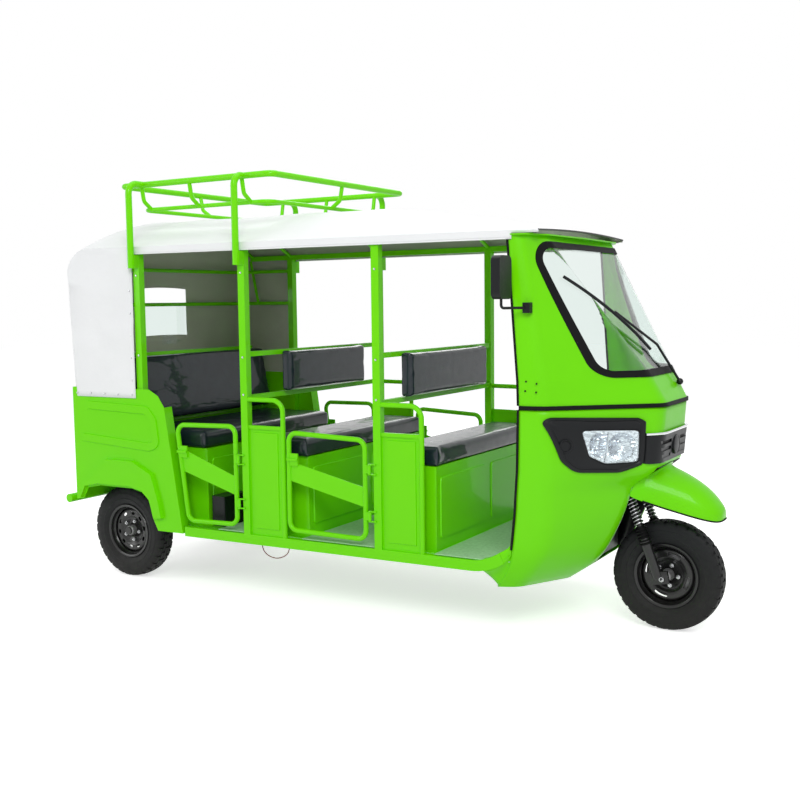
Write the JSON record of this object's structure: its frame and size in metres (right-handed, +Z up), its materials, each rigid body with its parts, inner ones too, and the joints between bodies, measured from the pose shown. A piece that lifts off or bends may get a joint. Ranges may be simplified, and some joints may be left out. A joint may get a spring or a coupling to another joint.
{
  "type": "auto rickshaw",
  "caption": "Three-wheeled passenger auto rickshaw with a steel cab, open tubular body, benches, side gates, cloth canopy and roof rack.",
  "frame": {"origin": "on the ground, at the middle of the length and width", "axes": "+X forward along the vehicle, +Y to its left, +Z up"},
  "size_m": [3.513, 1.502, 2.2],
  "materials": {
    "body_paint": "gloss",
    "frame_paint": "gloss",
    "black_steel": "satin",
    "black_plastic": "matte",
    "rubber_trim": "matte",
    "tyre_rubber": "matte",
    "canopy_cloth": "matte",
    "seat_vinyl": "gloss",
    "floor_mat": "matte",
    "screen_glass": "gloss",
    "lamp_lens": "gloss",
    "red_lens": "gloss",
    "cast_metal": "matte",
    "wire_skin": "matte"
  },
  "bodies": {
    "body": {"chassis_rails": "black_steel", "chassis_members": "black_steel", "side_sills": "body_paint", "floor_pan": "body_paint", "floor_mats": "floor_mat", "rear_axle": "black_steel", "leaf_springs": "black_steel", "engine_block": "cast_metal", "rear_tub": "body_paint", "tailboard": "body_paint", "tail_lamps": "red_lens", "rear_bumper": "body_paint", "posts": "body_paint", "roof_frame": "body_paint", "rear_rails": "body_paint", "backrest_rails": "body_paint", "side_panels": "body_paint", "hinge_pins": "body_paint", "seat_boxes": "body_paint", "cushion_rear": "seat_vinyl", "cushion_middle": "seat_vinyl", "cushion_driver": "seat_vinyl", "backrest_rear": "seat_vinyl", "backrest_middle": "seat_vinyl", "backrest_driver": "seat_vinyl", "battery_box": "black_plastic", "cab_lower": "body_paint", "cab_upper": "body_paint", "windscreen": "screen_glass", "windscreen_gasket": "rubber_trim", "edge_trims": "rubber_trim", "headlamp_bezels": "black_plastic", "headlamp_lenses": "lamp_lens", "grille": "black_plastic", "dashboard": "black_plastic", "front_mudguard": "body_paint", "canopy": "canopy_cloth", "rear_window": "screen_glass", "roof_rack": "body_paint", "mirrors": "black_plastic", "wiper": "black_plastic", "wire_loop": "wire_skin"},
    "steering": {"fork": "black_steel", "handlebar": "black_steel"},
    "front_wheel": {"front_tyre": "tyre_rubber", "front_rim": "black_steel"},
    "rear_wheel_right": {"rear_tyre_right": "tyre_rubber", "rear_rim_right": "black_steel"},
    "rear_wheel_left": {"rear_tyre_left": "tyre_rubber", "rear_rim_left": "black_steel"},
    "gate_front_right": {"gate_front_right": "body_paint"},
    "gate_rear_right": {"gate_rear_right": "body_paint"},
    "gate_front_left": {"gate_front_left": "body_paint"},
    "gate_rear_left": {"gate_rear_left": "body_paint"}
  },
  "joints": [
    {"name": "steering_turn", "type": "hinge", "parent": "body", "child": "steering", "pos_m": [1.354, 0, 0.553], "axis": [-0.3518, 0, 0.9361], "range_deg": [-40, 40]},
    {"name": "front_wheel_spin", "type": "hinge", "parent": "steering", "child": "front_wheel", "pos_m": [1.484, 0, 0.26], "axis": [0, 1, 0], "continuous": true},
    {"name": "rear_wheel_right_spin", "type": "hinge", "parent": "body", "child": "rear_wheel_right", "pos_m": [-1.468, -0.508, 0.262], "axis": [0, 1, 0], "continuous": true},
    {"name": "rear_wheel_left_spin", "type": "hinge", "parent": "body", "child": "rear_wheel_left", "pos_m": [-1.468, 0.508, 0.262], "axis": [0, 1, 0], "continuous": true},
    {"name": "gate_front_right_swing", "type": "hinge", "parent": "body", "child": "gate_front_right", "pos_m": [0.22262, -0.62499, 0.638], "axis": [0, 0, 1], "range_deg": [0, 100]},
    {"name": "gate_rear_right_swing", "type": "hinge", "parent": "body", "child": "gate_rear_right", "pos_m": [-0.54738, -0.66811, 0.638], "axis": [0, 0, 1], "range_deg": [0, 100]},
    {"name": "gate_front_left_swing", "type": "hinge", "parent": "body", "child": "gate_front_left", "pos_m": [0.22262, 0.62499, 0.638], "axis": [0, 0, -1], "range_deg": [0, 100]},
    {"name": "gate_rear_left_swing", "type": "hinge", "parent": "body", "child": "gate_rear_left", "pos_m": [-0.54738, 0.66811, 0.638], "axis": [0, 0, -1], "range_deg": [0, 100]}
  ]
}
